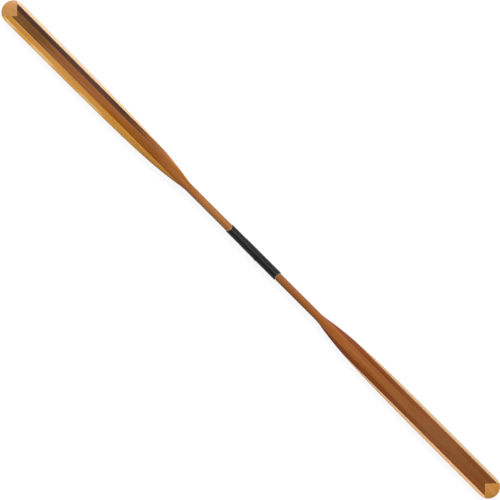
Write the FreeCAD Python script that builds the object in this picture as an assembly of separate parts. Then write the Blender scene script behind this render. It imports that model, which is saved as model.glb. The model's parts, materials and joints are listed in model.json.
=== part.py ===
"""Two-piece laminated wooden kayak paddle with a tube ferrule and a snap-button lock.

+X runs along the paddle to the half that holds the socket, +Y is the upper edge of the blades
and +Z is their front face. The origin is on the shaft's axis, halfway between the two tips.
"""
import FreeCAD, Part
import math
import os

# ---- driving dimensions, mm and degrees ----
paddle_length = 2200.0
blade_width = 75.5
blade_tip_depth = 10.0          # thickness of the blade at the middle of the round tip
loom_width = 26.0               # across the blade's plane
loom_depth = 29.0               # square to the blade's plane, beside the ferrule
root_depth = 32.0               # the deepest place, where loom and blade meet
loom_roundness = 2.2            # exponent of the oval: 2 is an ellipse, more is squarer

swell_start = 241.0             # where the loom begins to deepen, from the middle of the paddle
shoulder_start = 301.0          # where the blade begins to widen
shoulder_end = 406.0            # where the loft's sections may be further apart
shoulder_taper = 125.0          # length over which the blade comes to 63% of its added width
shoulder_softening = 16.0       # half the length that rounds the corner between loom and blade
lens_sharpness = 1.45           # exponent of the blade's section: 2 is an ellipse, 1 is a lens
lens_onset = 2.5                # how early the oval turns into the lens
depth_taper_power = 1.7         # above 1, so the thickness settles gently towards the tip

core_width = 26.6               # the core stick where it is part of the blade
side_strip_width = 15.0
side_strip_start = 298.0        # where the side strips begin, a hair thick
chevron_from_tip = 54.0         # apex of the tip block's 90 degree joint

sleeve_end = 107.0              # outer end of the sleeve, from the middle of the paddle
spigot_reach = 110.0            # outer end of the spigot and its collar, the other way
joint_line = -48.0              # mouth of the sleeve
end_scallop = 6.5               # how far the tubes' ends are cut back over the deep sides of the loom
sleeve_radius = 15.5
sleeve_bore_radius = 14.0
running_clearance = 0.05        # radial, between spigot and sleeve
spigot_bore_radius = 12.5
spigot_end = 50.0               # inner end of the spigot
collar_radius = 14.9
left_tenon_end = -50.0
right_tenon_end = 54.0
tube_chamfer = 0.6

seal_ring_thickness = 1.6
seal_ring_radius = 14.8
seal_ring_clearance = 0.1
seal_ring_rounding = 0.3

plug_skirt_length = 12.0
plug_wall = 2.0
plug_flange_thickness = 2.5
plug_flange_radius = 13.6

button_x = 19.0
button_radius = 4.0
button_proud = 1.2              # how far the button stands above the sleeve
button_rounding = 1.2
button_foot_radius = 5.2
button_foot_thickness = 1.2
button_foot_top = 11.2          # from the shaft's axis
button_hole_clearance = 0.15
feather_angle = 60.0            # between the sleeve's three button holes

spring_thickness = 0.6
spring_width = 8.0
spring_bend_radius = 3.0
spring_bend_x = -24.0
spring_pad_length = 12.0        # flat end of each leaf
spring_back_gap = 0.9           # between the plain leaf's pad and the top of the bore

bead_length = 5.0               # of the epoxy, past the end of the tube
bead_inset = 0.1                # how far the bead stays below the tube
bead_end_radius = 13.1

# ---- worked out from the driving dimensions ----
half_length = paddle_length / 2
spigot_radius = sleeve_bore_radius - running_clearance
collar_end = joint_line - seal_ring_thickness
loom_start = min(sleeve_end, spigot_reach) - end_scallop
side_strip_edge = core_width / 2 + side_strip_width
margin = 5.0                    # how far cutting tools run past what they cut

X_AXIS = FreeCAD.Vector(1, 0, 0)
Y_AXIS = FreeCAD.Vector(0, 1, 0)
Z_AXIS = FreeCAD.Vector(0, 0, 1)
ORIGIN = FreeCAD.Vector(0, 0, 0)


# ---- small helpers ----
def cylinder_x(radius, start, end):
    """A round bar along the shaft's axis."""
    return Part.makeCylinder(radius, end - start, FreeCAD.Vector(start, 0, 0), X_AXIS)


def tube_x(outer, inner, start, end):
    return cylinder_x(outer, start, end).cut(cylinder_x(inner, start - margin, end + margin))


def radial_cylinder(radius, inner, outer, x):
    """A round bar that points down from the shaft's axis, between two distances from it."""
    return Part.makeCylinder(radius, outer - inner, FreeCAD.Vector(x, -inner, 0), -Y_AXIS)


def slab(x0, x1, y0, y1):
    """A block between two planes each way, deeper than the paddle."""
    deep = root_depth + 2 * margin
    return Part.makeBox(x1 - x0, y1 - y0, deep, FreeCAD.Vector(x0, y0, -deep / 2))


def mirrored(shape):
    """The same shape on the left half of the paddle."""
    return shape.mirror(ORIGIN, X_AXIS)


def circle_edges(shape, x, radius):
    """The round edges of a turned part at one place along the shaft."""
    found = []
    for edge in shape.Edges:
        curve = edge.Curve
        if isinstance(curve, Part.Circle) and abs(curve.Radius - radius) < 0.001:
            if abs(curve.Center.x - x) < 0.001 and edge.Length > 0.9 * 2 * math.pi * radius:
                found.append(edge)
    return found


# ---- the outer shape of one half ----
def half_width(x):
    """The loom's half width, then a curve that settles at the blade's half width."""
    along = x - shoulder_start
    if abs(along) < shoulder_softening:
        along = (along + shoulder_softening) ** 2 / (4 * shoulder_softening)
    grown = 1 - math.exp(-max(0.0, along) / shoulder_taper)
    return (loom_width + (blade_width - loom_width) * grown) / 2


tip_radius = half_width(half_length - blade_width / 2)
tip_centre = half_length - tip_radius


def blade_progress(x):
    """0 at the shoulder and 1 at the centre of the round tip."""
    share = min(1.0, max(0.0, (x - shoulder_start) / (tip_centre - shoulder_start)))
    return 1 - (1 - share) ** depth_taper_power


def half_depth(x):
    """The loom deepens smoothly to the blade's root, and the blade thins from there to its tip."""
    share = min(1.0, max(0.0, (x - swell_start) / (shoulder_start - swell_start)))
    depth = loom_depth + (root_depth - loom_depth) * share ** 2 * (3 - 2 * share)
    return (depth + (blade_tip_depth - root_depth) * blade_progress(x)) / 2


def front_curve(x, steps=20):
    """Half of the section at x, from the upper edge over the front face to the lower edge."""
    width, depth = half_width(x), half_depth(x)
    share = min(1.0, lens_onset * blade_progress(x))
    sharpness = loom_roundness + (lens_sharpness - loom_roundness) * share
    points = []
    for i in range(steps + 1):
        angle = math.pi * i / steps
        across, up = math.cos(angle), math.sin(angle)
        y = math.copysign(width * abs(across) ** (2 / loom_roundness), across)
        z = depth * max(0.0, up) ** (2 / sharpness)
        points.append(FreeCAD.Vector(x, y, z))
    points[-1].z = 0.0
    curve = Part.BSplineCurve()
    curve.interpolate(points)
    return curve


def section(x, place=None):
    """The closed section of station x, placed at x or at another place along the shaft."""
    front = front_curve(x).toShape()
    if place is not None:
        front.translate(X_AXIS * (place - x))
    back = front.mirror(ORIGIN, Z_AXIS)
    return Part.Wire([front, back])


def round_tip():
    """The blade's last section turned about an upright axis, so its edge is the same all round."""
    curve = front_curve(tip_centre)
    middle = (curve.FirstParameter + curve.LastParameter) / 2
    upper_half = curve.toShape(curve.FirstParameter, middle)
    centre = FreeCAD.Vector(tip_centre, 0, 0)
    edge, top = curve.value(curve.FirstParameter), curve.value(middle)
    profile = Part.Face(Part.Wire([upper_half, Part.makeLine(top, centre), Part.makeLine(centre, edge)]))
    front = profile.revolve(centre, Z_AXIS, -180)
    return front.fuse(front.mirror(ORIGIN, Z_AXIS))


def stations(start, end, count):
    """Evenly spaced places along the shaft, without the first."""
    return [start + (end - start) * (i + 1) / count for i in range(count)]


def half_body():
    """Loom and blade of the right half as one shape, which is then divided into its timbers."""
    loom = Part.Face(section(0, loom_start)).extrude(X_AXIS * (swell_start - loom_start))
    places = stations(swell_start, shoulder_end, 11) + stations(shoulder_end, tip_centre, 12)
    sections = [section(0, swell_start)] + [section(x) for x in places]
    blade = Part.makeLoft(sections, True, False)
    return loom.fuse([blade, round_tip()]).removeSplitter()


# ---- the timbers of one half ----
def chevron():
    """The space of the tip block: everything beyond a 90 degree point that faces the loom."""
    apex = half_length - chevron_from_tip
    reach = chevron_from_tip + margin
    corners = [(apex, 0), (apex + reach, -reach), (apex + reach, reach), (apex, 0)]
    deep = loom_depth
    outline = Part.makePolygon([FreeCAD.Vector(x, y, -deep / 2) for x, y in corners])
    return Part.Face(outline).extrude(Z_AXIS * deep)


def timbers(body):
    """The blade's strips and tip block, and the core stick up to the shaft's tenon."""
    core, side, edge = core_width / 2, side_strip_edge, blade_width / 2 + margin
    bands = {
        "upper_side_strip": (core, side),
        "lower_side_strip": (-side, -core),
        "upper_edge_strip": (side, edge),
        "lower_edge_strip": (-edge, -side),
    }
    spaces = {name: slab(side_strip_start, half_length, *band) for name, band in bands.items()}
    rest = body.cut(chevron())
    cut = {name: rest.common(space) for name, space in spaces.items()}
    cut["core_stick"] = rest.cut(list(spaces.values()))
    cut["tip_block"] = body.common(chevron())
    return cut


# ---- the ferrule ----
def scallop(radius, end):
    """The upright round cutter that trims the end of a tube, on the right half, to a shallow curve."""
    cutter = (radius ** 2 + end_scallop ** 2) / (2 * end_scallop)
    deep = 2 * radius + 2 * margin
    foot = FreeCAD.Vector(end - end_scallop + cutter, 0, -deep / 2)
    return Part.makeCylinder(cutter, deep, foot, Z_AXIS)


def button_hole(angle):
    hole = radial_cylinder(button_radius + button_hole_clearance, 0, sleeve_radius + margin, button_x)
    return hole.rotate(ORIGIN, X_AXIS, angle)


def sleeve_blank():
    tube = tube_x(sleeve_radius, sleeve_bore_radius, joint_line, sleeve_end)
    return tube.cut(scallop(sleeve_radius, sleeve_end))


def ferrule_sleeve():
    sleeve = sleeve_blank()
    sleeve = sleeve.makeChamfer(tube_chamfer, circle_edges(sleeve, joint_line, sleeve_radius))
    return sleeve.cut([button_hole(angle) for angle in (-feather_angle, 0, feather_angle)])


def spigot_blank():
    tube = tube_x(spigot_radius, spigot_bore_radius, -spigot_reach, spigot_end)
    return tube.cut(mirrored(scallop(collar_radius, spigot_reach)))


def ferrule_spigot():
    tube = spigot_blank().cut(button_hole(0))
    return tube.makeChamfer(tube_chamfer, circle_edges(tube, spigot_end, spigot_radius))


def collar_blank():
    tube = tube_x(collar_radius, spigot_radius, -spigot_reach, collar_end)
    return tube.cut(mirrored(scallop(collar_radius, spigot_reach)))


def ferrule_collar():
    collar = collar_blank()
    return collar.makeChamfer(tube_chamfer / 2, circle_edges(collar, collar_end, collar_radius))


def joint_seal_ring():
    ring = tube_x(seal_ring_radius, spigot_radius + seal_ring_clearance, collar_end, joint_line)
    rims = circle_edges(ring, collar_end, seal_ring_radius) + circle_edges(ring, joint_line, seal_ring_radius)
    return ring.makeFillet(seal_ring_rounding, rims)


def spigot_end_plug():
    """A cap with a hollow skirt that is pushed into the spigot's inner end."""
    skirt = tube_x(spigot_bore_radius, spigot_bore_radius - plug_wall, spigot_end - plug_skirt_length, spigot_end)
    flange_end = spigot_end + plug_flange_thickness
    flange = cylinder_x(plug_flange_radius, spigot_end, flange_end)
    flange = flange.makeFillet(plug_flange_thickness / 2, circle_edges(flange, flange_end, plug_flange_radius))
    return flange.fuse(skirt)


def lock_button():
    top = sleeve_radius + button_proud
    foot_bottom = button_foot_top - button_foot_thickness
    head = radial_cylinder(button_radius, foot_bottom, top, button_x)
    rim = [e for e in head.Edges if isinstance(e.Curve, Part.Circle) and abs(e.Curve.Center.y + top) < 0.001]
    head = head.makeFillet(button_rounding, rim)
    return head.fuse(radial_cylinder(button_foot_radius, foot_bottom, button_foot_top, button_x))


def lock_spring():
    """A flat strip bent to a V that lies open inside the spigot, with a pad at the end of each leaf."""
    half = spring_thickness / 2
    lower_y = -(button_foot_top - button_foot_thickness) + half
    upper_y = spigot_bore_radius - spring_back_gap - half
    pad_start = button_x - spring_pad_length / 2
    pad_end = button_x + spring_pad_length / 2
    bend = FreeCAD.Vector(spring_bend_x + spring_bend_radius, (lower_y + upper_y) / 2, 0)
    to_pad = math.atan2(upper_y - bend.y, pad_start - bend.x)
    far = math.hypot(upper_y - bend.y, pad_start - bend.x)
    swing = to_pad + math.acos(spring_bend_radius / far)
    reach = FreeCAD.Vector(math.cos(swing), math.sin(swing), 0) * spring_bend_radius
    lower_tangent = bend + FreeCAD.Vector(reach.x, -reach.y, 0)
    upper_tangent = bend + reach
    back_of_bend = bend - X_AXIS * spring_bend_radius
    lower = [FreeCAD.Vector(pad_end, lower_y, 0), FreeCAD.Vector(pad_start, lower_y, 0), lower_tangent]
    upper = [upper_tangent, FreeCAD.Vector(pad_start, upper_y, 0), FreeCAD.Vector(pad_end, upper_y, 0)]
    edges = [Part.makeLine(lower[0], lower[1]), Part.makeLine(lower[1], lower[2])]
    edges += [Part.Arc(lower_tangent, back_of_bend, upper_tangent).toShape()]
    edges += [Part.makeLine(upper[0], upper[1]), Part.makeLine(upper[1], upper[2])]
    start = lower[0]
    corners = [(-half, -1), (half, -1), (half, 1), (-half, 1), (-half, -1)]
    ring = [start + FreeCAD.Vector(0, up, side * spring_width / 2) for up, side in corners]
    mitred = 1
    return Part.Wire(edges).makePipeShell([Part.makePolygon(ring)], True, False, mitred)


# ---- joining timber and tubes ----
def fitted_core(core, tenon, tubes):
    """The core stick with its tenon, cut back where the tubes sit."""
    return core.fuse(tenon).cut(tubes)


def epoxy_bead(tube_radius, end, tubes, core):
    """The bead that fairs the end of a tube into the oval loom, on the right half."""
    length = end_scallop + bead_length
    start = FreeCAD.Vector(end - end_scallop, 0, 0)
    cone = Part.makeCone(tube_radius - bead_inset, bead_end_radius, length, start, X_AXIS)
    return cone.cut([tubes, core])


def build():
    nodes = {}
    body = half_body()
    cut = timbers(body)
    for name, shape in cut.items():
        nodes["right_" + name] = shape
        nodes["left_" + name] = mirrored(shape)

    right_tenon = cylinder_x(sleeve_bore_radius, right_tenon_end, sleeve_end)
    nodes["right_core_stick"] = fitted_core(cut["core_stick"], right_tenon, sleeve_blank())
    left_tubes = spigot_blank().fuse(collar_blank())
    left_tenon = cylinder_x(spigot_bore_radius, -spigot_reach, left_tenon_end)
    nodes["left_core_stick"] = fitted_core(mirrored(cut["core_stick"]), left_tenon, left_tubes)

    right_core, left_core = nodes["right_core_stick"], mirrored(nodes["left_core_stick"])
    nodes["right_epoxy_bead"] = epoxy_bead(sleeve_radius, sleeve_end, sleeve_blank(), right_core)
    left_bead = epoxy_bead(collar_radius, spigot_reach, mirrored(left_tubes), left_core)
    nodes["left_epoxy_bead"] = mirrored(left_bead)

    for make in (ferrule_sleeve, ferrule_spigot, ferrule_collar, joint_seal_ring,
                 spigot_end_plug, lock_button, lock_spring):
        nodes[make.__name__] = make()
    return nodes


os.makedirs("parts", exist_ok=True)
for name, shape in build().items():
    print(f"{name:26s} valid {shape.isValid()} solids {len(shape.Solids)} "
          f"faces {len(shape.Faces):3d} volume {shape.Volume:10.1f} mm3")
    shape.exportStep(f"parts/{name}.step")
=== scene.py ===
"""Looks of the two-piece wooden kayak paddle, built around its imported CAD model.

The twelve timbers and the turned ferrule parts are rebuilt as finer meshes on the CAD's own formulas.
Lengths are in millimetres until a mesh is made, which is in metres.
"""
import bpy
import bmesh
import json
import math
from mathutils import Matrix, Vector


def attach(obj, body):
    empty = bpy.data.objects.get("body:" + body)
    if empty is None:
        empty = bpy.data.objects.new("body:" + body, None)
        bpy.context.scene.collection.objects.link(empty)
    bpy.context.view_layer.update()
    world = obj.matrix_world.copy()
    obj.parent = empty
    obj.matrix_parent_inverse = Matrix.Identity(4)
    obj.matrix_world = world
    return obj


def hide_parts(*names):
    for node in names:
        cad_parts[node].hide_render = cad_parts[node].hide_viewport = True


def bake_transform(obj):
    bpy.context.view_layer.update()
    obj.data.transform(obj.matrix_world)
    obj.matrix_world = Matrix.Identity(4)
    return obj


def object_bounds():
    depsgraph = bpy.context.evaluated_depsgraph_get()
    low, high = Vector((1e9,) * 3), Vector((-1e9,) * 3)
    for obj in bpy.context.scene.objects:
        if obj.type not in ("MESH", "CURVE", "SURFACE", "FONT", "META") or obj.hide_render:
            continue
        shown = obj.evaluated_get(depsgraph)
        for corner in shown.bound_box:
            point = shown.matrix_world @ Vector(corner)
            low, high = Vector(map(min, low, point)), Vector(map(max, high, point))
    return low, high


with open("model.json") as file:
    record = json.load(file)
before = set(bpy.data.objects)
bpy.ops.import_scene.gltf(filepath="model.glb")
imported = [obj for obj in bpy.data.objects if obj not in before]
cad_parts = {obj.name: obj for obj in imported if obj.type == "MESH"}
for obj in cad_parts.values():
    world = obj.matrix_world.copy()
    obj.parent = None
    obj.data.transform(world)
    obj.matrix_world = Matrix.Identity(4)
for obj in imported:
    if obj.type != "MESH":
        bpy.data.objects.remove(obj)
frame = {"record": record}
cad_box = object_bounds()

MM = 0.001

# ---- the paddle's shape, as in the CAD ----
HALF_LENGTH = 1100.0
LOOM_WIDTH, LOOM_DEPTH, ROOT_DEPTH = 26.0, 29.0, 32.0
BLADE_WIDTH, TIP_DEPTH = 75.5, 10.0
SWELL_START, SHOULDER_START = 241.0, 301.0
SHOULDER_TAPER, SHOULDER_SOFTENING = 125.0, 16.0
LOOM_ROUNDNESS, LENS_SHARPNESS, LENS_ONSET, DEPTH_TAPER_POWER = 2.2, 1.45, 2.5, 1.7
CORE_EDGE, SIDE_EDGE = 13.3, 28.3
CHEVRON_APEX = HALF_LENGTH - 54.0
END_SCALLOP, BEAD_LENGTH, BEAD_INSET, BEAD_END_RADIUS = 6.5, 5.0, 0.1, 13.1
SLEEVE_RADIUS, SLEEVE_BORE, SPIGOT_RADIUS, SPIGOT_BORE, COLLAR_RADIUS = 15.5, 14.0, 13.95, 12.5, 14.9
SLEEVE_END, SPIGOT_REACH, JOINT_LINE, COLLAR_END, SPIGOT_END = 107.0, 110.0, -48.0, -49.6, 50.0
RIGHT_TENON_END, LEFT_TENON_END = 54.0, -50.0
BUTTON_X, BUTTON_RADIUS, BUTTON_HOLE, BUTTON_TOP, BUTTON_ROUNDING = 19.0, 4.0, 4.15, 16.7, 1.2
FOOT_RADIUS, FOOT_BOTTOM, FOOT_TOP = 5.2, 10.0, 11.2
FEATHER_ANGLE = 60.0
SEAL_RADIUS, SEAL_BORE = 14.8, 14.05
PLUG_FLANGE, PLUG_FLANGE_END, PLUG_BORE, PLUG_START = 13.6, 52.5, 10.5, 38.0
TUBE_CHAMFER = 0.6
SPRING_THICKNESS, SPRING_WIDTH, SPRING_PAD, SPRING_BACK_GAP = 0.6, 8.0, 12.0, 0.9
SPRING_BEND_X, SPRING_BEND_RADIUS, SPRING_KINK, SPRING_END_RADIUS = -24.0, 3.0, 1.2, 2.4

# glue lines are fine V grooves
GROOVE_DEPTH, GROOVE_WIDTH = 0.10, 0.35


def half_width(x):
    along = x - SHOULDER_START
    if abs(along) < SHOULDER_SOFTENING:
        along = (along + SHOULDER_SOFTENING) ** 2 / (4 * SHOULDER_SOFTENING)
    grown = 1 - math.exp(-max(0.0, along) / SHOULDER_TAPER)
    return (LOOM_WIDTH + (BLADE_WIDTH - LOOM_WIDTH) * grown) / 2


TIP_RADIUS = half_width(HALF_LENGTH - BLADE_WIDTH / 2)
TIP_CENTRE = HALF_LENGTH - TIP_RADIUS


def blade_progress(x):
    share = min(1.0, max(0.0, (x - SHOULDER_START) / (TIP_CENTRE - SHOULDER_START)))
    return 1 - (1 - share) ** DEPTH_TAPER_POWER


def half_depth(x):
    share = min(1.0, max(0.0, (x - SWELL_START) / (SHOULDER_START - SWELL_START)))
    depth = LOOM_DEPTH + (ROOT_DEPTH - LOOM_DEPTH) * share ** 2 * (3 - 2 * share)
    return (depth + (TIP_DEPTH - ROOT_DEPTH) * blade_progress(x)) / 2


def outline(x):
    """Half width of the planform, round tip included."""
    if x <= TIP_CENTRE:
        return half_width(x)
    return math.sqrt(max(0.0, TIP_RADIUS ** 2 - (x - TIP_CENTRE) ** 2))


def glue_distance(x, y):
    """Distance in the planform to the nearest glue line."""
    across = abs(y)
    to_chevron = (x - CHEVRON_APEX - across) / math.sqrt(2)
    nearest = abs(to_chevron)
    if to_chevron < 0:
        nearest = min(nearest, abs(across - CORE_EDGE), abs(across - SIDE_EDGE))
    return nearest


def front_height(x, y):
    """Height of the front face over a point of the planform, glue lines included."""
    if x > TIP_CENTRE:
        reach, width = math.hypot(x - TIP_CENTRE, y), TIP_RADIUS
    else:
        reach, width = abs(y), half_width(x)
    share = min(1.0, LENS_ONSET * blade_progress(x))
    sharpness = LOOM_ROUNDNESS + (LENS_SHARPNESS - LOOM_ROUNDNESS) * share
    height = half_depth(x) * max(0.0, 1 - (reach / width) ** LOOM_ROUNDNESS) ** (1 / sharpness)
    groove = 0.0
    if half_width(x) > CORE_EDGE:
        groove = GROOVE_DEPTH * max(0.0, 1 - glue_distance(x, y) / GROOVE_WIDTH)
    return max(0.0, height - groove)


def tube_end(y, radius, end):
    """Where the scalloped end of a tube of that radius lies, on the right half."""
    cutter = (radius ** 2 + END_SCALLOP ** 2) / (2 * END_SCALLOP)
    return end - END_SCALLOP + cutter - math.sqrt(cutter ** 2 - y * y)


# ---- mesh helpers ----
def clustered(low, high, count):
    """Places from low to high, closer together towards both ends."""
    return [low + (high - low) * (1 - math.cos(math.pi * i / count)) / 2 for i in range(count + 1)]


def spread(low, high, count):
    return [low + (high - low) * i / count for i in range(count + 1)]


SAME_POINT, NO_LENGTH = 2e-6, 1e-7     # in metres
WOOD_SHARP, TURNED_SHARP = 40, 35      # an edge bent by more than this, in degrees, isn't shaded smooth


def finish_mesh(name, vertices, faces, sharp_degrees):
    """A closed, smooth-shaded mesh object in metres, with doubled points merged and normals outward."""
    mesh = bpy.data.meshes.new(name)
    mesh.from_pydata([Vector(v) * MM for v in vertices], [], faces)
    work = bmesh.new()
    work.from_mesh(mesh)
    bmesh.ops.remove_doubles(work, verts=work.verts, dist=SAME_POINT)
    bmesh.ops.dissolve_degenerate(work, edges=work.edges, dist=NO_LENGTH)
    bmesh.ops.recalc_face_normals(work, faces=work.faces)
    work.to_mesh(mesh)
    work.free()
    mesh.shade_smooth()
    mesh.set_sharp_from_angle(angle=math.radians(sharp_degrees))
    piece = bpy.data.objects.new(name, mesh)
    bpy.context.scene.collection.objects.link(piece)
    return piece


def skin(rings, capped=(True, True)):
    """Vertices and faces of a skin over rings of equal length.

    A cap pairs the points of its ring front to back.
    """
    count = len(rings[0])
    vertices = [p for ring in rings for p in ring]
    faces = []
    for i in range(len(rings) - 1):
        for j in range(count):
            k = (j + 1) % count
            faces.append((i * count + j, i * count + k, (i + 1) * count + k, (i + 1) * count + j))
    for i, wanted in ((0, capped[0]), (len(rings) - 1, capped[1])):
        if wanted:
            base = i * count
            half = count // 2
            for j in range(half):
                a, b = j, j + 1
                c, d = (count - b) % count, (count - a) % count
                corners = []
                for q in (a, b, c, d):
                    if base + q not in corners:
                        corners.append(base + q)
                if len(corners) > 2:
                    faces.append(tuple(corners))
    return vertices, faces


def ring_over(points):
    """A closed ring from a row of planform points: over the front face and back under the rear one."""
    front = [(x, y, front_height(x, y)) for x, y in points]
    back = [(x, y, -z) for x, y, z in reversed(front)]
    return front + back


def flipped(vertices):
    """The same points on the left half."""
    return [(-x, y, z) for x, y, z in vertices]


def upside_down(vertices):
    return [(x, -y, z) for x, y, z in vertices]


# ---- the timbers ----
END_STEPS = [0.15, 0.5, 1.5, 4.0]     # distances of the last rows from a glued end
ROW_PITCH = 6.0                       # between the rings along a timber
CORE_COLUMNS, SIDE_COLUMNS, EDGE_COLUMNS, TIP_COLUMNS, TIP_ROWS = 24, 14, 12, 28, 72
SEARCH_STEP, FINE_STEP = 0.05, 0.01   # for the place where an edge of the blade passes a glue line
TENON_GAP = 0.03                      # radial, between a tenon and its tube
TUCKED = 0.4                          # how far the loom runs in under the tube's end


def lengths(start, end, pitch):
    """Places along a strip, with a few close to its glued end."""
    count = max(2, round((end - start) / pitch))
    places = [p for p in spread(start, end, count) if p < end - END_STEPS[-1] - 0.5]
    return places + [end - s for s in reversed(END_STEPS)] + [end]


def core_rings(tenon_radius, tenon_end, tube_radius, end):
    """Rings of the core stick: its tenon, the oval loom and the core of the blade, up to the chevron."""
    angles = [math.pi * j / CORE_COLUMNS for j in range(CORE_COLUMNS + 1)]
    across = [math.copysign(abs(math.cos(a)) ** (2 / LOOM_ROUNDNESS), math.cos(a)) for a in angles]
    rings = []
    round_angles = angles + angles[::-1]
    signs = [1] * len(angles) + [-1] * len(angles)
    for inset, along in ((1.0, 0.0), (0.3, 0.3), (0.0, 1.0)):
        r = tenon_radius - inset
        rings.append([(tenon_end + along, r * math.cos(a), s * r * math.sin(a))
                      for a, s in zip(round_angles, signs)])
    r = tenon_radius
    rings.append([(tube_end(r * math.cos(a), tube_radius, end) - TUCKED, r * math.cos(a), s * r * math.sin(a))
                  for a, s in zip(round_angles, signs)])
    first = [tube_end(half_width(0) * t, tube_radius, end) - TUCKED for t in across]
    ends = [CHEVRON_APEX + abs(CORE_EDGE * t) for t in across]
    for place in lengths(end, CHEVRON_APEX, ROW_PITCH):
        share = (place - end) / (CHEVRON_APEX - end)
        row = []
        for j, t in enumerate(across):
            x = first[j] + (ends[j] - first[j]) * share
            row.append((x, min(CORE_EDGE, half_width(x)) * t))
        rings.append(ring_over(row))
    return rings


def side_rings():
    """Rings of the upper side strip, from the shoulder to the chevron."""
    start = SHOULDER_START - SHOULDER_SOFTENING
    while half_width(start) < CORE_EDGE:
        start += SEARCH_STEP
    rings = []
    for place in lengths(start, CHEVRON_APEX + SIDE_EDGE, ROW_PITCH):
        share = (place - start) / (CHEVRON_APEX + SIDE_EDGE - start)
        row = []
        for t in clustered(0.0, 1.0, SIDE_COLUMNS):
            y = CORE_EDGE + (min(SIDE_EDGE, half_width(place)) - CORE_EDGE) * t
            x = start + (CHEVRON_APEX + y - start) * share
            outer = min(SIDE_EDGE, half_width(x))
            row.append((x, CORE_EDGE + (outer - CORE_EDGE) * t))
        rings.append(ring_over(row))
    return rings


def edge_rings():
    """Rings of the upper edge strip, from its feathered start to the chevron."""
    start = SHOULDER_START
    while half_width(start) < SIDE_EDGE:
        start += SEARCH_STEP
    corner = CHEVRON_APEX + SIDE_EDGE
    while CHEVRON_APEX + outline(corner) > corner:
        corner += FINE_STEP
    rings = []
    for place in lengths(start, corner, ROW_PITCH):
        share = (place - start) / (corner - start)
        inner = (start + (CHEVRON_APEX + SIDE_EDGE - start) * share, SIDE_EDGE)
        outer = (place, outline(place))
        row = [(inner[0] + (outer[0] - inner[0]) * t, inner[1] + (outer[1] - inner[1]) * t)
               for t in clustered(0.0, 1.0, EDGE_COLUMNS)]
        rings.append(ring_over(row))
    return rings, corner


def tip_rings(corner):
    """Rings of the tip block, from one side to the other."""
    reach = corner - CHEVRON_APEX
    widest = math.atan2(reach, corner - TIP_CENTRE)
    rings = []
    for share in spread(-1.0, 1.0, TIP_ROWS):
        inner = (CHEVRON_APEX + abs(reach * share), reach * share)
        turn = widest * share
        outer = (TIP_CENTRE + TIP_RADIUS * math.cos(turn), TIP_RADIUS * math.sin(turn))
        row = [(inner[0] + (outer[0] - inner[0]) * t, inner[1] + (outer[1] - inner[1]) * t)
               for t in clustered(0.0, 1.0, TIP_COLUMNS)]
        rings.append(ring_over(row))
    return rings


def place_piece(piece, node, body, material):
    """Gives a piece its material, and its place in the model. A piece with no body is left unattached."""
    piece.data.materials.clear()
    piece.data.materials.append(material)
    if body:
        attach(piece, body)
    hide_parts(node)


# ---- node materials ----
LIGHT_LEVEL = 1.55     # how much brighter than its own colour a matt surface looks when it faces up


def srgb(r, g, b, balance=(1.0, 1.0, 1.0)):
    """The linear surface colour that looks like this display colour, 0 to 255, in the studio's light.

    balance multiplies its linear red, green and blue.
    """
    linear = [c / 12.92 if c <= 0.04045 else ((c + 0.055) / 1.055) ** 2.4
              for c in (r / 255, g / 255, b / 255)]
    return (*(c * factor / LIGHT_LEVEL for c, factor in zip(linear, balance)), 1.0)


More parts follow.
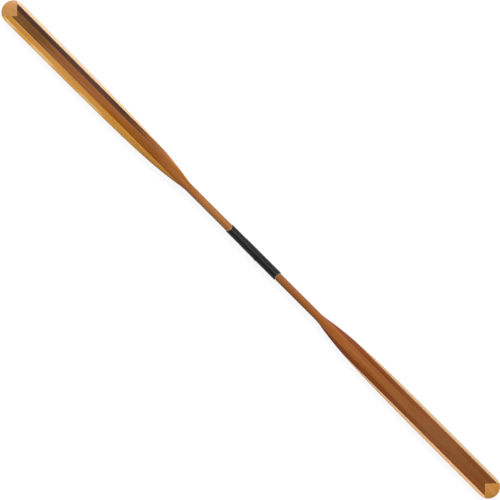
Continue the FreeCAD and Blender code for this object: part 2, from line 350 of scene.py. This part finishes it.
class Recipe:
    """A node material with short calls for the nodes used here."""

    def __init__(self, name, roughness, **constants):
        self.material = bpy.data.materials.new(name)
        self.material.use_nodes = True
        self.tree = self.material.node_tree
        self.shader = self.tree.nodes["Principled BSDF"]
        self.shader.inputs["Roughness"].default_value = roughness
        for socket, value in constants.items():
            self.shader.inputs[socket.replace("_", " ")].default_value = value
        self.coordinates = self.tree.nodes.new("ShaderNodeTexCoord").outputs["Object"]

    def feed(self, value, socket):
        if isinstance(value, bpy.types.NodeSocket):
            self.tree.links.new(value, socket)
        else:
            socket.default_value = value

    def maths(self, operation, *values):
        node = self.tree.nodes.new("ShaderNodeMath")
        node.operation = operation
        for value, socket in zip(values, node.inputs):
            self.feed(value, socket)
        return node.outputs[0]

    def stretched(self, scale, vector=None, offset=(0, 0, 0)):
        node = self.tree.nodes.new("ShaderNodeMapping")
        node.inputs["Scale"].default_value = scale
        node.inputs["Location"].default_value = offset
        self.feed(vector or self.coordinates, node.inputs["Vector"])
        return node.outputs[0]

    def noise(self, vector, detail=3.0, roughness=0.5):
        node = self.tree.nodes.new("ShaderNodeTexNoise")
        for socket, value in (("Vector", vector), ("Scale", 1.0), ("Detail", detail), ("Roughness", roughness)):
            self.feed(value, node.inputs[socket])
        return node.outputs[0]

    def cells(self, vector):
        node = self.tree.nodes.new("ShaderNodeTexVoronoi")
        self.feed(vector, node.inputs["Vector"])
        self.feed(1.0, node.inputs["Scale"])
        return node.outputs["Distance"]

    def remap(self, value, low, high, to_low, to_high):
        node = self.tree.nodes.new("ShaderNodeMapRange")
        for socket, number in zip(node.inputs, (value, low, high, to_low, to_high)):
            self.feed(number, socket)
        return node.outputs[0]

    def split(self, vector):
        node = self.tree.nodes.new("ShaderNodeSeparateXYZ")
        self.feed(vector, node.inputs[0])
        return node.outputs

    def joined(self, x, y, z):
        node = self.tree.nodes.new("ShaderNodeCombineXYZ")
        for value, socket in zip((x, y, z), node.inputs):
            self.feed(value, socket)
        return node.outputs[0]

    def ramp(self, value, stops):
        node = self.tree.nodes.new("ShaderNodeValToRGB")
        self.feed(value, node.inputs[0])
        elements = node.color_ramp.elements
        while len(elements) < len(stops):
            elements.new(1.0)
        for element, (place, colour) in zip(elements, stops):
            element.position = place
            element.color = colour
        return node.outputs[0]

    def shaded(self, colour, brightness, saturation):
        node = self.tree.nodes.new("ShaderNodeHueSaturation")
        self.feed(colour, node.inputs["Color"])
        self.feed(brightness, node.inputs["Value"])
        self.feed(saturation, node.inputs["Saturation"])
        return node.outputs[0]

    def bump(self, height, distance, strength):
        node = self.tree.nodes.new("ShaderNodeBump")
        node.inputs["Distance"].default_value = distance
        node.inputs["Strength"].default_value = strength
        self.feed(height, node.inputs["Height"])
        return node.outputs[0]

    def done(self, colour=None, roughness=None, normal=None):
        for socket, value in (("Base Color", colour), ("Roughness", roughness), ("Normal", normal)):
            if value is not None:
                self.feed(value, self.shader.inputs[socket])
        return self.material


WOOD_GLOSS, PORE_DEPTH = 0.38, 0.26     # the oiled surface's roughness, and how much its pores darken it


def wood(name, stops, balance, seed, figure, fine=0.13, drift=0.03, ring_pitch=3.2, rings=0.10):
    """Oiled timber with its grain along X.

    stops gives its colour at places along X, in metres, balance multiplies the colours' channels, and drift
    is how far the places wander from streak to streak. ring_pitch is in millimetres. figure, fine and rings
    are how much each kind of grain changes the brightness.
    """
    recipe = Recipe(name, WOOD_GLOSS, Coat_Weight=0.0, Specular_IOR_Level=0.08)
    x, y, z = recipe.split(recipe.coordinates)
    # the grain wanders slowly from side to side along the timber
    slow = recipe.noise(recipe.stretched((1.6, 14.0, 14.0), offset=(seed * 3.7, seed * 1.3, 0.0)), detail=2.0)
    wander = recipe.maths("MULTIPLY", recipe.maths("SUBTRACT", slow, 0.5), 0.016)
    warped = recipe.joined(x, recipe.maths("ADD", y, wander), z)
    # three sizes of streak: broad figure, fine streaks and hair-like pores
    broad = recipe.noise(recipe.stretched((2.6, 150.0, 90.0), warped, (seed, 0.0, seed * 2.1)), 4.0, 0.55)
    streak = recipe.noise(recipe.stretched((9.0, 520.0, 300.0), warped, (seed * 1.9, seed, 0.0)), 4.0, 0.6)
    hair = recipe.noise(recipe.stretched((55.0, 2100.0, 1300.0), warped, (0.0, seed, seed)), detail=2.0)
    # growth rings cut along their length: a sine of the distance across the grain, with sharp late wood
    across = recipe.maths("ADD", recipe.maths("MULTIPLY", recipe.split(warped)[1], 1000.0 / ring_pitch),
                          recipe.maths("MULTIPLY", recipe.maths("ADD", slow, broad), 2.4))
    wave = recipe.maths("SINE", recipe.maths("MULTIPLY", across, 2 * math.pi))
    late = recipe.remap(wave, 0.25, 1.0, 0.0, 1.0)
    # colour along the timber
    place = recipe.maths("ADD", x, recipe.maths("MULTIPLY", recipe.maths("SUBTRACT", broad, 0.5), drift * 2))
    low, high = stops[0][0], stops[-1][0]
    span = max(high - low, 1e-6)
    base = recipe.ramp(recipe.remap(place, low, high, 0.0, 1.0),
                       [((at - low) / span, srgb(*colour, balance)) for at, colour in stops])
    # brightness of the grain
    value = 1.0
    for grain, amount in ((broad, figure), (streak, fine)):
        swing = recipe.maths("MULTIPLY", recipe.maths("SUBTRACT", grain, 0.5), amount * 4)
        value = recipe.maths("ADD", value, swing)
    value = recipe.maths("SUBTRACT", value, recipe.maths("MULTIPLY", late, rings))
    pores = recipe.remap(hair, 0.59, 0.72, 0.0, 1.0)
    value = recipe.maths("SUBTRACT", value, recipe.maths("MULTIPLY", pores, PORE_DEPTH))
    saturation = recipe.remap(broad, 0.3, 0.7, 1.08, 0.94)
    colour = recipe.shaded(base, value, saturation)
    height = recipe.maths("SUBTRACT", recipe.maths("MULTIPLY", streak, 0.5),
                          recipe.maths("MULTIPLY", pores, 0.6))
    normal = recipe.bump(height, 0.00012, 0.5)
    roughness = recipe.remap(streak, 0.35, 0.65, WOOD_GLOSS - 0.07, WOOD_GLOSS + 0.1)
    return recipe.done(colour, roughness, normal)


LEFT_CORE = [(-1.06, (116, 74, 32)), (-0.95, (112, 71, 30)), (-0.88, (140, 86, 46)), (-0.72, (150, 90, 46)),
             (-0.58, (148, 88, 34)), (-0.45, (138, 76, 24)),
             (-0.33, (156, 90, 34)), (-0.20, (165, 107, 58)), (-0.10, (162, 104, 56))]
LEFT_DARK = [(-1.08, (70, 36, 16)), (-0.92, (76, 44, 24)), (-0.75, (88, 52, 34)), (-0.60, (74, 40, 18)),
             (-0.52, (112, 66, 30)), (-0.42, (158, 100, 52)), (-0.30, (192, 128, 64))]
LEFT_GOLDEN = [(-1.08, (196, 134, 58)), (-0.85, (205, 144, 70)), (-0.60, (203, 144, 68)),
               (-0.30, (198, 134, 62))]
LEFT_UPPER_EDGE = [(-1.08, (226, 194, 160)), (-0.80, (224, 192, 158)), (-0.42, (220, 184, 146))]
LEFT_LOWER_EDGE = [(-1.08, (216, 170, 110)), (-1.06, (228, 196, 150)), (-1.035, (226, 190, 146)),
                   (-1.01, (214, 164, 104)), (-0.96, (214, 164, 104)), (-0.94, (226, 192, 148)),
                   (-0.875, (226, 192, 148)), (-0.85, (214, 164, 104)), (-0.76, (212, 162, 102)),
                   (-0.735, (224, 188, 142)), (-0.66, (224, 188, 142)), (-0.64, (212, 162, 104)),
                   (-0.42, (208, 158, 100))]
LEFT_TIP = [(-1.10, (204, 142, 76)), (-1.05, (208, 146, 88))]
RIGHT_CORE = [(0.10, (160, 102, 64)), (0.25, (164, 100, 56)), (0.36, (168, 97, 49)), (0.50, (160, 95, 48)),
              (0.64, (155, 93, 48)), (0.81, (142, 89, 52)), (1.02, (133, 77, 40)), (1.06, (130, 75, 38))]
RIGHT_UPPER_SIDE = [(0.29, (142, 78, 46)), (0.45, (134, 70, 36)), (0.60, (126, 67, 28)), (0.80, (142, 85, 48)),
                    (0.98, (128, 73, 35)), (1.08, (122, 70, 33))]
RIGHT_LOWER_SIDE = [(0.29, (134, 64, 24)), (0.60, (124, 64, 25)), (0.80, (134, 80, 46)), (0.98, (132, 76, 37)),
                    (1.08, (128, 74, 36))]
RIGHT_UPPER_EDGE = [(0.42, (206, 168, 124)), (0.55, (214, 178, 134)), (0.85, (218, 192, 152)),
                    (1.08, (216, 186, 144))]
RIGHT_LOWER_EDGE = [(0.42, (222, 180, 136)), (0.50, (232, 187, 143)), (0.90, (230, 186, 143)),
                    (1.08, (228, 184, 140))]
RIGHT_TIP = [(1.05, (196, 134, 72)), (1.10, (192, 132, 66))]

AS_TYPED = (1.0, 1.0, 1.0)

# node: slot, colours, balance of the colours' channels, and how the grain differs from the usual
TIMBERS = {
    "left_core_stick": ("left_core_wood", LEFT_CORE, AS_TYPED, dict(figure=0.10, ring_pitch=2.6)),
    "left_upper_side_strip": ("left_dark_wood", LEFT_DARK, AS_TYPED, dict(figure=0.13, drift=0.10, rings=0.08)),
    "left_lower_side_strip": ("left_golden_wood", LEFT_GOLDEN, (0.96, 0.96, 0.92),
                              dict(figure=0.07, rings=0.07)),
    "left_upper_edge_strip": ("edge_wood", LEFT_UPPER_EDGE, (1.05, 1.04, 1.0),
                              dict(figure=0.04, fine=0.04, rings=0.03)),
    "left_lower_edge_strip": ("edge_wood", LEFT_LOWER_EDGE, (1.05, 1.0, 0.80),
                              dict(figure=0.05, fine=0.05, rings=0.04, drift=0.02)),
    "left_tip_block": ("tip_wood", LEFT_TIP, (0.83, 0.90, 0.90), dict(figure=0.07, fine=0.07, rings=0.05)),
    "right_core_stick": ("right_core_wood", RIGHT_CORE, (0.90, 0.89, 0.86), dict(figure=0.10, ring_pitch=2.6)),
    "right_upper_side_strip": ("right_side_wood", RIGHT_UPPER_SIDE, (0.93, 0.93, 0.90),
                               dict(figure=0.10, rings=0.09)),
    "right_lower_side_strip": ("right_side_wood", RIGHT_LOWER_SIDE, AS_TYPED, dict(figure=0.10, rings=0.09)),
    "right_upper_edge_strip": ("edge_wood", RIGHT_UPPER_EDGE, (0.89, 0.84, 0.86),
                               dict(figure=0.04, fine=0.05, rings=0.03)),
    "right_lower_edge_strip": ("edge_wood", RIGHT_LOWER_EDGE, (1.10, 1.08, 1.12),
                               dict(figure=0.04, fine=0.05, rings=0.03)),
    "right_tip_block": ("tip_wood", RIGHT_TIP, (0.93, 0.92, 0.78), dict(figure=0.07, fine=0.07, rings=0.05)),
}


def build_timbers():
    edges, corner = edge_rings()
    sides, tip = side_rings(), tip_rings(corner)
    cores = {"right": core_rings(SLEEVE_BORE - TENON_GAP, RIGHT_TENON_END, SLEEVE_RADIUS, SLEEVE_END),
             "left": core_rings(SPIGOT_BORE - TENON_GAP, -LEFT_TENON_END, COLLAR_RADIUS, SPIGOT_REACH)}
    for seed, (node, (slot, stops, balance, grain)) in enumerate(TIMBERS.items(), start=1):
        half, part = node.split("_", 1)
        rings = {"core_stick": cores[half], "tip_block": tip}.get(part) or (edges if "edge" in part else sides)
        vertices, faces = skin(rings)
        if "lower" in part:
            vertices = upside_down(vertices)
        if half == "left":
            vertices = flipped(vertices)
        piece = finish_mesh(node + "_wood", vertices, faces, WOOD_SHARP)
        place_piece(piece, node, half + "_half", wood(node + "_grain", stops, balance, seed, **grain))


build_timbers()


# ---- the ferrule ----
TURNED_STEPS = 96
HOLE_COLUMNS, HOLE_REACH, HOLE_ROWS, HOLE_LEVELS = 5, 7.0, 10, 6
HOLE_CROWDING = 1.4     # above 1, so the rows of faces are closer together at the hole's rim
TUBE_STEPS = 72
ON_AXIS = 0.01     # radius of the last ring of a turned shape, which closes it at its axis
SKIRT_GAP = 0.02   # radial, between the end plug's skirt and the spigot


def lathe(profile):
    """Vertices and faces of a body turned about the shaft's axis, from the (x, radius) of a closed profile."""
    turns = [2 * math.pi * k / TURNED_STEPS for k in range(TURNED_STEPS)]
    rings = [[(x, r * math.cos(t), r * math.sin(t)) for t in turns] for x, r in profile]
    return skin(rings + rings[:1], (False, False))


def corner(x, radius, size, start, steps=5):
    """A rounded convex corner of a turned profile: a quarter circle about (x, radius)."""
    turns = [math.radians(start + 90.0 * i / steps) for i in range(steps + 1)]
    return [(x + size * math.cos(t), radius + size * math.sin(t)) for t in turns]


def tube(outer, inner, start, end, chamfer, holes=(), hole_x=0.0):
    """Vertices and faces of a tube with a chamfered mouth, a scalloped far end and round holes in its wall.

    holes are their angles from the underside. The rows beyond them lean over into the far end's curve.
    """
    pitch = 2 * math.pi / TUBE_STEPS
    hole_rows = spread(hole_x - HOLE_REACH, hole_x + HOLE_REACH, HOLE_ROWS) if holes else []
    vertices, faces, index = [], [], {}

    def vertex(key, radius, turn, x):
        if key not in index:
            index[key] = len(vertices)
            vertices.append((x, -radius * math.cos(turn), -radius * math.sin(turn)))
        return index[key]

    def rows(radius, mouth):
        """The x of every row of one surface as a function of the turn, and how many come before the holes."""
        level = spread(mouth, hole_rows[0], 6)[:-1] if holes else [mouth]
        before = len(level)
        level += hole_rows
        found = [lambda turn, x=x: x for x in level]
        for share in spread(0.0, 1.0, 10)[1:]:
            found.append(lambda turn, s=share: level[-1] + s * (
                tube_end(-radius * math.cos(turn), radius, end) - level[-1]))
        return found, before

    middles = [round(math.radians(angle) / pitch) for angle in holes]
    holed = {(m + c) % TUBE_STEPS for m in middles for c in range(-HOLE_COLUMNS, HOLE_COLUMNS)}
    last = 0
    for side, radius, mouth in (("outer", outer, start + chamfer), ("inner", inner, start)):
        places, first = rows(radius, mouth)
        last = len(places) - 1
        for i in range(last):
            for j in range(TUBE_STEPS):
                if j in holed and first <= i < first + HOLE_ROWS:
                    continue
                faces.append(tuple(vertex((side, a, b % TUBE_STEPS), radius, b * pitch, places[a](b * pitch))
                                   for a, b in ((i, j), (i, j + 1), (i + 1, j + 1), (i + 1, j))))
        border = [(-HOLE_COLUMNS + k, first) for k in range(2 * HOLE_COLUMNS)]
        border += [(HOLE_COLUMNS, first + k) for k in range(HOLE_ROWS)]
        border += [(HOLE_COLUMNS - k, first + HOLE_ROWS) for k in range(2 * HOLE_COLUMNS)]
        border += [(-HOLE_COLUMNS, first + HOLE_ROWS - k) for k in range(HOLE_ROWS)]
        for m in middles:
            for n, (c, i) in enumerate(border):
                turn, x = (m + c) * pitch, places[i](0)
                toward = math.atan2(x - hole_x, radius * math.sin(c * pitch))
                rim_turn = m * pitch + math.asin(BUTTON_HOLE * math.cos(toward) / radius)
                rim_x = hole_x + BUTTON_HOLE * math.sin(toward)
                outside = vertex((side, i, (m + c) % TUBE_STEPS), radius, turn, x)
                index[(side, m, HOLE_LEVELS, n)] = outside
                for step in range(HOLE_LEVELS):
                    s = (step / HOLE_LEVELS) ** HOLE_CROWDING
                    vertex((side, m, step, n), radius, rim_turn + (turn - rim_turn) * s,
                           rim_x + (x - rim_x) * s)
            for step in range(HOLE_LEVELS):
                for n in range(len(border)):
                    o = (n + 1) % len(border)
                    faces.append(tuple(index[(side, m, q, r)]
                                       for q, r in ((step, n), (step, o), (step + 1, o), (step + 1, n))))
    around = 2 * (2 * HOLE_COLUMNS + HOLE_ROWS)
    for m in middles:
        for n in range(around):
            o = (n + 1) % around
            faces.append(tuple(index[(q, m, 0, r)] for q, r in
                               (("outer", n), ("outer", o), ("inner", o), ("inner", n))))
    for j in range(TUBE_STEPS):
        k = (j + 1) % TUBE_STEPS
        rim = [vertex(("mouth", q), outer - chamfer, q * pitch, start) for q in (j, k)]
        faces.append((index[("outer", 0, j)], index[("outer", 0, k)], rim[1], rim[0]))
        faces.append((rim[0], rim[1], index[("inner", 0, k)], index[("inner", 0, j)]))
        faces.append((index[("outer", last, j)], index[("outer", last, k)],
                      index[("inner", last, k)], index[("inner", last, j)]))
    return vertices, faces


def bead(tube_radius, end):
    """Vertices and faces of the epoxy between a tube's scalloped end and the oval loom, on the right half."""
    start = end - END_SCALLOP
    length = END_SCALLOP + BEAD_LENGTH
    top = tube_radius - BEAD_INSET
    slope = (top - BEAD_END_RADIUS) / length
    tucked = 0.3
    rings = [[] for _ in range(6)]
    for k in range(TURNED_STEPS):
        turn = 2 * math.pi * k / TURNED_STEPS
        across, up = math.cos(turn), math.sin(turn)
        loom = (abs(across / (LOOM_WIDTH / 2)) ** LOOM_ROUNDNESS
                + abs(up / (LOOM_DEPTH / 2)) ** LOOM_ROUNDNESS) ** (-1 / LOOM_ROUNDNESS)
        near = tube_end(top * across, tube_radius, end)
        rim = top - slope * (near - start)
        far = start + (top - loom) / slope
        hollow = 0.12 * (rim - loom)     # the resin draws in a little between its two edges
        profile = [(near - tucked, loom - tucked), (near - tucked, rim), (near, rim),
                   ((near + far) / 2, (rim + loom) / 2 - hollow), (far, loom), (far, loom - tucked)]
        for ring, (x, r) in zip(rings, profile):
            ring.append((x, r * across, r * up))
    return skin(rings + rings[:1], (False, False))


def plug_profile():
    """The cap with a hollow skirt that closes the spigot's inner end."""
    round_off = (PLUG_FLANGE_END - SPIGOT_END) / 2
    outer = corner(PLUG_FLANGE_END - round_off, PLUG_FLANGE - round_off, round_off, 0.0)
    face = [(PLUG_FLANGE_END, ON_AXIS), (PLUG_FLANGE_END, PLUG_FLANGE * 0.5)]
    skirt_radius = SPIGOT_BORE - SKIRT_GAP
    skirt = [(SPIGOT_END, PLUG_FLANGE), (SPIGOT_END, skirt_radius), (PLUG_START, skirt_radius),
             (PLUG_START, PLUG_BORE), (SPIGOT_END, PLUG_BORE), (SPIGOT_END, ON_AXIS)]
    return face + outer + skirt


def seal_profile():
    """The flat rubber ring between the collar and the mouth of the sleeve."""
    rounding = 0.3
    outer = corner(JOINT_LINE - rounding, SEAL_RADIUS - rounding, rounding, 0.0, 4)
    outer += corner(COLLAR_END + rounding, SEAL_RADIUS - rounding, rounding, 90.0, 4)
    return outer + [(COLLAR_END, SEAL_BORE), (JOINT_LINE, SEAL_BORE)]


def button_shape():
    """The lock button, turned about the axis that points down at BUTTON_X."""
    bevel, flat_radius = 0.2, 1.2
    profile = [(FOOT_BOTTOM, ON_AXIS), (FOOT_BOTTOM, FOOT_RADIUS - bevel), (FOOT_BOTTOM + bevel, FOOT_RADIUS),
               (FOOT_TOP, FOOT_RADIUS), (FOOT_TOP, BUTTON_RADIUS)]
    side = corner(BUTTON_TOP - BUTTON_ROUNDING, BUTTON_RADIUS - BUTTON_ROUNDING, BUTTON_ROUNDING, 0.0)
    profile += side[::-1] + [(BUTTON_TOP, flat_radius), (BUTTON_TOP, ON_AXIS)]
    vertices, faces = lathe(profile)
    return [(BUTTON_X + y, -x, z) for x, y, z in vertices], faces


def spring_line():
    """The middle line of the V spring in the x-y plane, from the button's pad round to the other pad."""
    half = SPRING_THICKNESS / 2
    lower, upper = -FOOT_BOTTOM + half, SPIGOT_BORE - SPRING_BACK_GAP - half
    near, far = BUTTON_X - SPRING_PAD / 2, BUTTON_X + SPRING_PAD / 2
    cx, cy = SPRING_BEND_X + SPRING_BEND_RADIUS, (lower + upper) / 2
    reach = math.hypot(upper - cy, near - cx)
    swing = math.atan2(upper - cy, near - cx) + math.acos(SPRING_BEND_RADIUS / reach)
    bend = [(cx + SPRING_BEND_RADIUS * math.cos(t), cy + SPRING_BEND_RADIUS * math.sin(t))
            for t in spread(swing, 2 * math.pi - swing, 14)]

    def leaf(tangent, y):
        """Points from the bend to the end of one leaf, with the kink before its pad rounded."""
        before = [(tangent[0] + (near - tangent[0]) * s, tangent[1] + (y - tangent[1]) * s)
                  for s in spread(0.0, 1.0, 24)][1:]
        start, stop = before[-2], (near + SPRING_KINK, y)
        kink = [((1 - t) ** 2 * start[0] + 2 * t * (1 - t) * near + t * t * stop[0],
                 (1 - t) ** 2 * start[1] + 2 * t * (1 - t) * y + t * t * stop[1]) for t in spread(0.0, 1.0, 6)]
        return before[:-2] + kink + [(x, y) for x in spread(stop[0], far, 14)[1:]]

    return leaf(bend[-1], lower)[::-1] + bend[::-1] + leaf(bend[0], upper)


def spring_leaf():
    """Vertices and faces of the spring: a strip along spring_line() with rounded ends and eased edges."""
    line = spring_line()
    lengths_along = [0.0]
    for (x0, y0), (x1, y1) in zip(line, line[1:]):
        lengths_along.append(lengths_along[-1] + math.hypot(x1 - x0, y1 - y0))
    ease, clearance, end_flat = 0.12, 0.02, 0.3
    half = SPRING_THICKNESS / 2 - clearance
    rings = []
    for i, (x, y) in enumerate(line):
        (x0, y0), (x1, y1) = line[max(i - 1, 0)], line[min(i + 1, len(line) - 1)]
        run = math.hypot(x1 - x0, y1 - y0)
        across = (-(y1 - y0) / run, (x1 - x0) / run)
        from_end = min(lengths_along[i], lengths_along[-1] - lengths_along[i])
        inset = max(0.0, SPRING_END_RADIUS - from_end)
        wide = (SPRING_WIDTH / 2 - SPRING_END_RADIUS
                + math.sqrt(max(SPRING_END_RADIUS ** 2 - inset ** 2, end_flat ** 2)))
        section = [(-half, -wide + ease), (-half, wide - ease), (-half + ease, wide), (half - ease, wide),
                   (half, wide - ease), (half, -wide + ease), (half - ease, -wide), (-half + ease, -wide)]
        rings.append([(x + u * across[0], y + u * across[1], z) for u, z in section])
    return skin(rings, (True, True))


def ferrule_pieces():
    """For each node its vertices, its faces, and whether it is built on the right half and then flipped."""
    return {
        "ferrule_sleeve": (*tube(SLEEVE_RADIUS, SLEEVE_BORE, JOINT_LINE, SLEEVE_END, TUBE_CHAMFER,
                                 (-FEATHER_ANGLE, 0.0, FEATHER_ANGLE), BUTTON_X), False),
        "ferrule_spigot": (*tube(SPIGOT_RADIUS, SPIGOT_BORE, -SPIGOT_END, SPIGOT_REACH, TUBE_CHAMFER,
                                 (0.0,), -BUTTON_X), True),
        "ferrule_collar": (*tube(COLLAR_RADIUS, SPIGOT_RADIUS, -COLLAR_END, SPIGOT_REACH,
                                 TUBE_CHAMFER / 2), True),
        "joint_seal_ring": (*lathe(seal_profile()), False),
        "spigot_end_plug": (*lathe(plug_profile()), False),
        "lock_button": (*button_shape(), False),
        "right_epoxy_bead": (*bead(SLEEVE_RADIUS, SLEEVE_END), False),
        "left_epoxy_bead": (*bead(COLLAR_RADIUS, SPIGOT_REACH), True),
    }


def satin_composite():
    recipe = Recipe("black_composite", 0.5, Specular_IOR_Level=0.26)
    x, y, z = recipe.split(recipe.coordinates)
    turn = recipe.maths("ARCTAN2", z, y)
    wraps = []
    for lead in (1.0, -1.0):
        spiral = recipe.maths("ADD", recipe.maths("MULTIPLY", x, 2200.0),
                              recipe.maths("MULTIPLY", turn, 24.0 * lead))
        wraps.append(recipe.maths("SINE", spiral))
    weave = recipe.maths("MAXIMUM", *wraps)
    speckle = recipe.noise(recipe.stretched((900.0, 900.0, 900.0)), detail=3.0)
    drawn = recipe.noise(recipe.stretched((12.0, 500.0, 500.0)), detail=3.0)
    mottle = recipe.maths("ADD", recipe.maths("MULTIPLY", speckle, 0.5), recipe.maths("MULTIPLY", drawn, 0.5))
    colour = recipe.ramp(mottle, [(0.3, srgb(19, 18, 18)), (0.7, srgb(27, 26, 26))])
    height = recipe.maths("ADD", recipe.maths("MULTIPLY", weave, 0.35), speckle)
    roughness = recipe.remap(drawn, 0.3, 0.7, 0.36, 0.50)
    return recipe.done(colour, roughness, recipe.bump(height, 0.00004, 0.6))


def rubber():
    recipe = Recipe("seal_rubber", 0.72, Specular_IOR_Level=0.3)
    speckle = recipe.noise(recipe.stretched((1600.0, 1600.0, 1600.0)), detail=4.0)
    colour = recipe.ramp(speckle, [(0.3, srgb(20, 20, 20)), (0.7, srgb(32, 31, 31))])
    return recipe.done(colour, recipe.remap(speckle, 0.3, 0.7, 0.62, 0.82), recipe.bump(speckle, 0.00005, 0.6))


def moulded_plastic():
    recipe = Recipe("black_plastic", 0.5, Specular_IOR_Level=0.45)
    grain = recipe.cells(recipe.stretched((1300.0, 1300.0, 1300.0)))
    cloud = recipe.noise(recipe.stretched((120.0, 120.0, 120.0)), detail=2.0)
    colour = recipe.ramp(cloud, [(0.3, srgb(30, 30, 31)), (0.7, srgb(42, 42, 43))])
    return recipe.done(colour, recipe.remap(grain, 0.0, 0.6, 0.42, 0.6), recipe.bump(grain, 0.00006, 0.5))


def steel(name, dark, light, roughness, scale):
    recipe = Recipe(name, roughness, Metallic=1.0)
    brushed = recipe.noise(recipe.stretched(scale), detail=4.0)
    colour = recipe.ramp(brushed, [(0.3, srgb(*dark)), (0.7, srgb(*light))])
    return recipe.done(colour, recipe.remap(brushed, 0.3, 0.7, roughness - 0.08, roughness + 0.1),
                       recipe.bump(brushed, 0.00002, 0.5))


def epoxy_resin():
    recipe = Recipe("epoxy", 0.22, Coat_Weight=0.5, Coat_Roughness=0.08, Transmission_Weight=0.15)
    cloud = recipe.noise(recipe.stretched((180.0, 180.0, 180.0)), detail=3.0)
    colour = recipe.ramp(cloud, [(0.3, srgb(128, 104, 78)), (0.7, srgb(168, 140, 106))])
    return recipe.done(colour, recipe.remap(cloud, 0.3, 0.7, 0.16, 0.3), recipe.bump(cloud, 0.0001, 0.4))


FINISHES = {
    "black_composite": satin_composite(),
    "seal_rubber": rubber(),
    "black_plastic": moulded_plastic(),
    "button_metal": steel("button_metal", (92, 92, 94), (124, 124, 126), 0.34, (1800.0, 1800.0, 1800.0)),
    "spring_steel": steel("spring_steel", (168, 168, 170), (200, 200, 202), 0.28, (30.0, 600.0, 1800.0)),
    "epoxy": epoxy_resin(),
}


def body_of(node):
    return next(b for b, nodes in frame["record"]["behaviour"]["bodies"].items() if node in nodes)


SLOTS = {part["node"]: part["material_slot"] for part in frame["record"]["subparts"]}

for node, (vertices, faces, on_left) in ferrule_pieces().items():
    vertices = flipped(vertices) if on_left else vertices
    piece = finish_mesh(node + "_turned", vertices, faces, TURNED_SHARP)
    place_piece(piece, node, body_of(node), FINISHES[SLOTS[node]])

spring = finish_mesh("lock_spring_leaf", *spring_leaf(), TURNED_SHARP)
place_piece(spring, "lock_spring", None, FINISHES["spring_steel"])
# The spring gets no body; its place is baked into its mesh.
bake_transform(spring)


# ---- floor, light and camera ----
FLOOR_LEVEL, FLOOR_REACH = -0.040, 90.0     # just clear of a blade that is feathered to its limit
CEILING = ((0.14, 1.0), (0.42, 0.22))       # height in the sky and its brightness there
KEY_DIRECTION, KEY_SPREAD, KEY_STRENGTH = (-0.53, 0.466, 1.0), 20.0, 5.5
CAMERA_TILT, CAMERA_ROLL, CAMERA_DISTANCE = math.radians(3.87), math.radians(44.97), 6.0
CAMERA_LENS, CAMERA_SENSOR = 136.8, 36.0
CAMERA_AIM = Vector((-0.0140, -0.0029, 0.0))     # from the middle of the object


def floor_material():
    recipe = Recipe("floor", 0.9, Specular_IOR_Level=0.05, Emission_Color=(1, 1, 1, 1), Emission_Strength=0.92)
    cloud = recipe.noise(recipe.stretched((3.0, 3.0, 3.0)), detail=3.0)
    colour = recipe.ramp(cloud, [(0.3, (0.058, 0.058, 0.058, 1.0)), (0.7, (0.064, 0.064, 0.064, 1.0))])
    return recipe.done(colour)


def make_floor():
    mesh = bpy.data.meshes.new("floor")
    corners = [(x * FLOOR_REACH, y * FLOOR_REACH, FLOOR_LEVEL) for x, y in ((-1, -1), (1, -1), (1, 1), (-1, 1))]
    mesh.from_pydata(corners, [], [(0, 1, 2, 3)])
    floor = bpy.data.objects.new("floor", mesh)
    floor.data.materials.append(floor_material())
    bpy.context.scene.collection.objects.link(floor)


def key_light(toward, spread_angle, strength):
    """One soft light, shining from that direction."""
    data = bpy.data.lights.new("key", "SUN")
    data.angle = math.radians(spread_angle)
    data.energy = strength
    lamp = bpy.data.objects.new("key", data)
    lamp.rotation_euler = Vector(toward).to_track_quat("Z", "Y").to_euler()
    bpy.context.scene.collection.objects.link(lamp)


def light_world(strength):
    """A white studio with a dimmer ceiling, so that faces seen from above keep their colour."""
    world = bpy.data.worlds.new("studio")
    world.use_nodes = True
    nodes, links = world.node_tree.nodes, world.node_tree.links
    coordinates = nodes.new("ShaderNodeTexCoord")
    split = nodes.new("ShaderNodeSeparateXYZ")
    ramp = nodes.new("ShaderNodeValToRGB")
    for element, (place, level) in zip(ramp.color_ramp.elements, CEILING):
        element.position = place
        element.color = (level, level, level, 1.0)
    links.new(coordinates.outputs["Generated"], split.inputs[0])
    links.new(split.outputs["Z"], ramp.inputs[0])
    links.new(ramp.outputs[0], nodes["Background"].inputs["Color"])
    nodes["Background"].inputs["Strength"].default_value = strength
    bpy.context.scene.world = world


def make_camera():
    """Looks down on the front face, rolled so that the paddle lies along the picture's diagonal."""
    turned = Matrix.Rotation(-CAMERA_TILT, 4, "Y") @ Matrix.Rotation(CAMERA_ROLL, 4, "Z")
    back = Vector(turned.col[2][:3])
    centre = (Vector(cad_box[0]) + Vector(cad_box[1])) / 2
    target = centre + CAMERA_AIM
    data = bpy.data.cameras.new("camera")
    data.lens = CAMERA_LENS
    data.sensor_width = CAMERA_SENSOR
    camera = bpy.data.objects.new("camera", data)
    camera.matrix_world = Matrix.Translation(target + CAMERA_DISTANCE * back) @ turned
    data.clip_start, data.clip_end = 0.05, 400.0
    bpy.context.scene.collection.objects.link(camera)
    bpy.context.scene.camera = camera


make_floor()
light_world(1.0)
key_light(KEY_DIRECTION, KEY_SPREAD, KEY_STRENGTH)
make_camera()
bpy.context.scene.view_settings.view_transform = "Standard"
